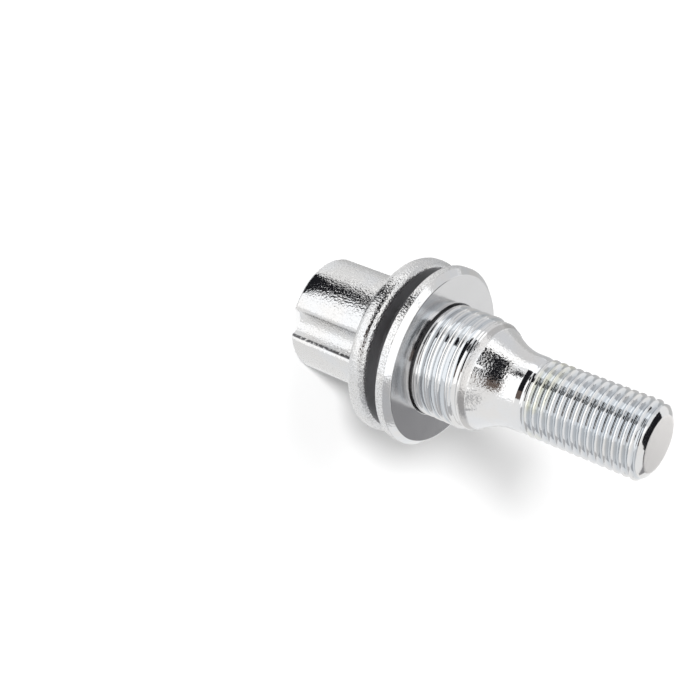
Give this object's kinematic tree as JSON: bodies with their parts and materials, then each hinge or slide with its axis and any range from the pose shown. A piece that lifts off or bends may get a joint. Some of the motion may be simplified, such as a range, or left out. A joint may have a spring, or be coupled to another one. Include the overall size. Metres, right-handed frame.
{
  "type": "locking wheel bolt",
  "caption": "Locking wheel bolt: fluted round key head, rounded flange, free-turning captive washer, ridged barrel, lead cone and threaded end.",
  "frame": {"origin": "centre of the flat end face of the key head, on which the bolt stands", "axes": "+Z along the bolt's axis, from the key head to the threaded tip; -Y points to the side seen in the picture"},
  "size_m": [0.034, 0.034, 0.0708],
  "materials": {
    "bolt_zinc": "bright zinc plate over forged steel",
    "washer_zinc": "bright zinc plate over stamped and turned steel"
  },
  "bodies": {
    "bolt": {"bolt": "bolt_zinc"},
    "washer": {"captive_washer": "washer_zinc"}
  },
  "joints": [
    {"name": "washer_spin", "type": "hinge", "parent": "bolt", "child": "washer", "pos_m": [0, 0, 0.026], "axis": [0, 0, 1], "continuous": true}
  ]
}
